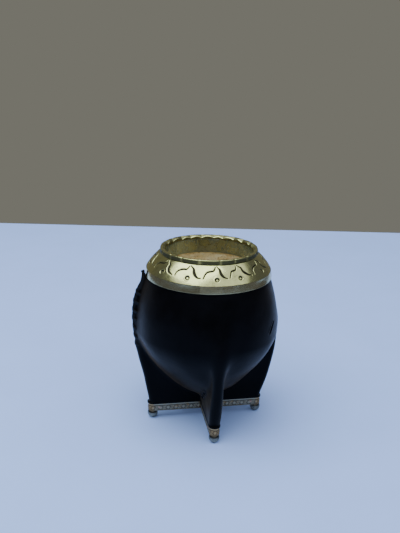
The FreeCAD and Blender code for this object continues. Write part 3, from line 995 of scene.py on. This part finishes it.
def make_gourd(material):
    """The gourd's wall, rough and pitted inside, with a sawn edge under the rim."""
    mouth_r, inner_r, top_z = GOURD_MOUTH_R, GOURD_INNER_R, GOURD_HIGH[2]
    lower = bezier([(0.01, 25.0), (17.0, 25.0), (inner_r, 54.5), (inner_r, 64.0)], 60)
    upper = bezier([(inner_r, 64.0), (inner_r, 83.0), (29.5, 94.0), (mouth_r, 103.2)], 70)[1:]
    rim = [(mouth_r, top_z - 0.3), (mouth_r + 0.3, top_z), (32.4, top_z), (32.8, top_z - 0.3)]
    z = np.linspace(top_z - 0.6, BODY_WIDE_Z, 12)
    arc_r, wide = BODY_UPPER_ARC_R - LEATHER, BODY_R - LEATHER
    outer_top = np.stack([wide - arc_r + np.sqrt(arc_r ** 2 - (z - BODY_WIDE_Z) ** 2), z], -1)
    pull = wide / BODY_R
    outer_low = bezier([(wide, BODY_WIDE_Z), (wide, BODY_WIDE_Z - BODY_SIDE_PULL * pull),
                        (BODY_FLOOR_PULL * pull, GOURD_LOW[2]), (0.01, GOURD_LOW[2])], 24)[1:]
    section = np.vstack([lower, upper, rim, outer_top, outer_low])[::-1]
    points = lathe(section, 420)
    inside = np.zeros(len(section))
    inside[-len(lower) - len(upper):] = 1
    tooth = 0.16 * waves(points, 2.2, 31, 40) + 0.25 * waves(points, 7.0, 32)
    radius = np.hypot(points[..., 0], points[..., 1])
    push_out(points, np.abs(tooth) * inside * smoothstep(6, 14, radius))
    return make_ring("gourd_wall", points, material, "gourd_shell", 60)


# ---- base trim and balls

def strip_path(inner_x, nose_x, half_width, spacing):
    """The trim's outline from one inner corner round the nose to the other, as (x, y)."""
    side = int((nose_x - inner_x) / spacing)
    out = np.stack([np.linspace(inner_x, nose_x, side), np.full(side, -half_width)], -1)
    turn = np.linspace(-math.pi / 2, math.pi / 2, int(math.pi * half_width / spacing))[1:-1]
    nose = np.stack([nose_x + half_width * np.cos(turn), half_width * np.sin(turn)], -1)
    back = out[::-1] * (1, -1)
    return np.vstack([out, nose, back])


def petal(u, v, at, angle, length, width):
    """A domed leaf centred at a place in the pattern, lying at an angle."""
    cu, cv = at
    along = (u - cu) * math.cos(angle) + (v - cv) * math.sin(angle)
    across = -(u - cu) * math.sin(angle) + (v - cv) * math.cos(angle)
    return np.clip(1 - (along / length) ** 2 - (across / width) ** 2, 0, 1) ** 0.6


def floral_relief(s, h):
    """Embossed flowers between scrolls along s, at height h from 0 to 1, with plain borders."""
    u = ((s / PATTERN_PITCH) % 1.0 - 0.5) * PATTERN_PITCH
    v = (h - 0.42) * 5.1
    w = np.where(u > 0, u - PATTERN_PITCH / 2, u + PATTERN_PITCH / 2)
    shapes = [petal(u, v, (0, 0), 0, 0.33, 0.33)]
    for angle in 0.3 + np.arange(6) * TURN / 6:
        at = (0.68 * math.cos(angle), 0.68 * math.sin(angle))
        shapes.append(0.85 * petal(u, v, at, angle, 0.55, 0.3))
    for side in (-1, 1):
        ring = np.abs(np.hypot(w - 0.42 * side, v - 0.62 * side) - 0.52)
        shapes.append(0.8 * bump(ring, 0.26))
        shapes.append(0.8 * petal(w, v, (0.55 * side, -0.85 * side), -0.5, 0.5, 0.24))
        shapes.append(0.75 * petal(w, v, (0.95 * side, 1.15 * side), 0.9, 0.45, 0.22))
    field = smoothstep(0.05, 0.09, h) * (1 - smoothstep(0.78, 0.82, h))
    border = smoothstep(0.81, 0.86, h) * (1 - smoothstep(0.96, 1.0, h))
    bead = petal((s / 0.8) % 1.0 - 0.5, h, (0, 0.045), 0, 0.45, 0.045)
    return np.maximum.reduce([np.maximum.reduce(shapes) * field, 0.85 * border, 0.6 * bead])


def make_strip(leg, material):
    """The strip round one arm: an embossed front, a flat back and closed ends."""
    half_width, rows = STRIP_HIGH[1], 34
    low, high = STRIP_LOW[2], STRIP_HIGH[2]
    nose_x = STRIP_HIGH[0] - half_width
    path = strip_path(half_width, nose_x, half_width, 0.16)
    normal = right_normals(path)
    length = np.r_[0, np.cumsum(np.linalg.norm(np.diff(path, axis=0), axis=1))][:, None]
    middle = length[-1] / 2 - PATTERN_PITCH / 2
    s, h = np.broadcast_arrays(length - middle, np.linspace(0, 1, rows))
    relief = floral_relief(s, h)
    push = -RELIEF_DEPTH * (1 - np.clip(relief, 0, 1.1))
    push[:, [0, -1]] = -RELIEF_DEPTH
    flat = path[:, None, :] + normal[:, None, :] * push[..., None]
    front = np.concatenate([flat, (low + (high - low) * h)[..., None]], -1)
    inner = path - normal * TRIM_WALL
    back = np.stack([np.insert(inner, 2, level, axis=1) for level in (high, low)], 1)
    points = np.concatenate([front, back], 1)
    copper = 0.85 * smoothstep(nose_x - 1.5, nose_x + 1.0, points[..., 0])
    layers = {"relief": np.pad(relief, ((0, 0), (0, 2)), constant_values=0.2), "copper": copper}
    turn = np.array(Matrix.Rotation(math.radians(-LEGS[leg]), 3, "Z"))
    return make_piece("floral_trim_" + leg, points @ turn, rod_faces(len(path), rows + 2), material,
                      "trim_strip_" + leg, 50, layers)


def make_ball(leg, material):
    """A turned ball, flat underneath and under the bar, with a bore for its stud."""
    centre_x = (BALL_LOW[0] + BALL_HIGH[0]) / 2
    radius = (BALL_HIGH[0] - BALL_LOW[0]) / 2
    top = BALL_HIGH[2]
    sweep = np.linspace(math.asin(-BALL_CENTRE_Z / radius), math.asin((top - BALL_CENTRE_Z) / radius), 30)
    side = np.stack([radius * np.cos(sweep), BALL_CENTRE_Z + radius * np.sin(sweep)], -1)
    bore = [(BALL_BORE_R, top), (BALL_BORE_R, top / 2)]
    points = lathe(np.vstack([[(BALL_BORE_R, 0.0)], side, bore]), 72)
    angle = math.radians(LEGS[leg])
    points[..., :2] += centre_x * np.array([math.cos(angle), math.sin(angle)])
    # Painted shade: the top of the ball is darkened as the shade and dark reflection under the trim.
    painted_top_shade = 0.9 * smoothstep(BALL_CENTRE_Z + 0.1, BALL_CENTRE_Z + 1.3, points[..., 2])
    return make_ring("ball_" + leg, points, material, "ball_foot_" + leg, 40, {"painted_top_shade": painted_top_shade})


# ---- stage, light and camera

def plain_material(name, color, roughness):
    """A matt surface with only a breath of unevenness."""
    s = Shader(name, color, roughness)
    tone = tuple(channel * 0.97 for channel in color)
    s.color(s.ramp(s.noise(60.0, detail=3), [(0.35, tone), (0.65, color)]))
    s.bump(s.noise(1.2, detail=4), 0.06, 0.15)
    return s.material


def make_stage():
    """A pale table top whose far edge lies half a metre behind the cup."""
    half_width, near, far = 0.36, -0.40, 0.505
    mesh = bpy.data.meshes.new("floor")
    corners = [(-half_width, near), (half_width, near), (half_width, far), (-half_width, far)]
    cos, sin = math.cos(HEADING), math.sin(HEADING)
    mesh.from_pydata([(x * cos - y * sin, x * sin + y * cos, 0) for x, y in corners],
                     [], [(0, 1, 2, 3)])
    mesh.materials.append(plain_material("pale_floor", (0.45, 0.61, 1.0), 0.85))
    floor = bpy.data.objects.new("floor", mesh)
    bpy.context.scene.collection.objects.link(floor)


def make_world():
    """A soft surround: a bright sky above and before the cup, and a dim wall behind it."""
    world = bpy.data.worlds.new("studio")
    bpy.context.scene.world = world
    world.use_nodes = True
    n = Nodes(world.node_tree)
    place = n.node("ShaderNodeTexCoord").outputs["Generated"]
    split = n.node("ShaderNodeSeparateXYZ")
    n.link(place, split.inputs["Vector"])
    toward = n.node("ShaderNodeVectorMath", operation="DOT_PRODUCT")
    n.link(place, toward.inputs[0])
    toward.inputs[1].default_value = (math.sin(SKY_HEADING), -math.cos(SKY_HEADING), 0)
    front = toward.outputs["Value"]
    edge = n.span(front, -0.90, -0.34, -1.0, 1.0, "SMOOTHSTEP")
    sky = n.span(n.math("ADD", split.outputs["Z"], edge), 0.0, 1.0, -0.07, 0.07, "SMOOTHSTEP")
    before = n.span(front, 0.0, 1.0, -0.95, -0.3, "SMOOTHSTEP")
    low = n.mix(before, (0.175, 0.172, 0.143), (0.11, 0.12, 0.165))
    background = n.tree.nodes["Background"]
    n.link(n.mix(sky, low, (1.05, 1.18, 1.48)), background.inputs["Color"])
    background.inputs["Strength"].default_value = 1.0


def make_light(name, place, aim, size, power, color):
    """A rectangular area light, size metres across and power watts, turned toward its aim."""
    data = bpy.data.lights.new(name, "AREA")
    data.shape = "RECTANGLE"
    data.size, data.size_y = size
    data.energy = power
    data.color = color
    light = bpy.data.objects.new(name, data)
    light.location = place
    direction = np.array(aim, float) - np.array(place, float)
    light.rotation_euler = Vector(direction).to_track_quat("-Z", "Y").to_euler()
    bpy.context.scene.collection.objects.link(light)


def make_camera():
    """The camera looks slightly down and is rolled a little, as a hand-held phone is."""
    heading = Matrix.Rotation(HEADING, 4, "Z")
    pitch = Matrix.Rotation(math.radians(90 - 17.51), 4, "X")
    roll = Matrix.Rotation(math.radians(1.43), 4, "Z")
    place = Matrix.Translation((-0.00524, -0.36898, 0.21809))
    data = bpy.data.cameras.new("camera")
    data.sensor_fit = "VERTICAL"
    data.sensor_height = 36.0
    data.lens = 42.41651
    camera = bpy.data.objects.new("camera", data)
    camera.matrix_world = heading @ place @ pitch @ roll
    bpy.context.scene.collection.objects.link(camera)
    bpy.context.scene.camera = camera


def dress(node, material):
    """Gives a carried-over CAD node its finish."""
    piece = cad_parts[node]
    piece.data.materials.clear()
    piece.data.materials.append(material)


def build():
    leather = leather_finish()
    rim = rim_finish("rim_metal", (0.62, 0.59, 0.23), 0.27, 0.14)
    band = rim_finish("band_metal", (0.95, 0.84, 0.42), 0.26, 0.16)
    sleeve = rim_finish("sleeve_metal", (0.44, 0.55, 0.50), 0.36, 0.22)
    wood = wood_finish()
    trim = trim_finish()
    ball = ball_finish()
    make_cover(leather)
    make_lacing(thong_finish())
    for piece in (make_shoulder(rim), make_lip(rim), make_band(band), make_sleeve(sleeve)):
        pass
    make_gourd(gourd_finish())
    for leg in LEGS:
        make_strip(leg, trim)
        make_ball(leg, ball)
        dress("leg_web_" + leg, wood)
    dress("base_bar_side", wood)
    dress("base_bar_front", wood)
    dress("rim_bedding", resin_finish())
    dress("foot_studs", steel_finish())
    dress("trim_tacks", tack_finish())


build()
make_stage()
make_world()
make_light("overhead", place=(-0.25, -0.1, 0.9), aim=(0, 0, 0.05), size=(0.9, 0.9), power=8.5,
           color=(0.72, 0.85, 1.0))
make_camera()
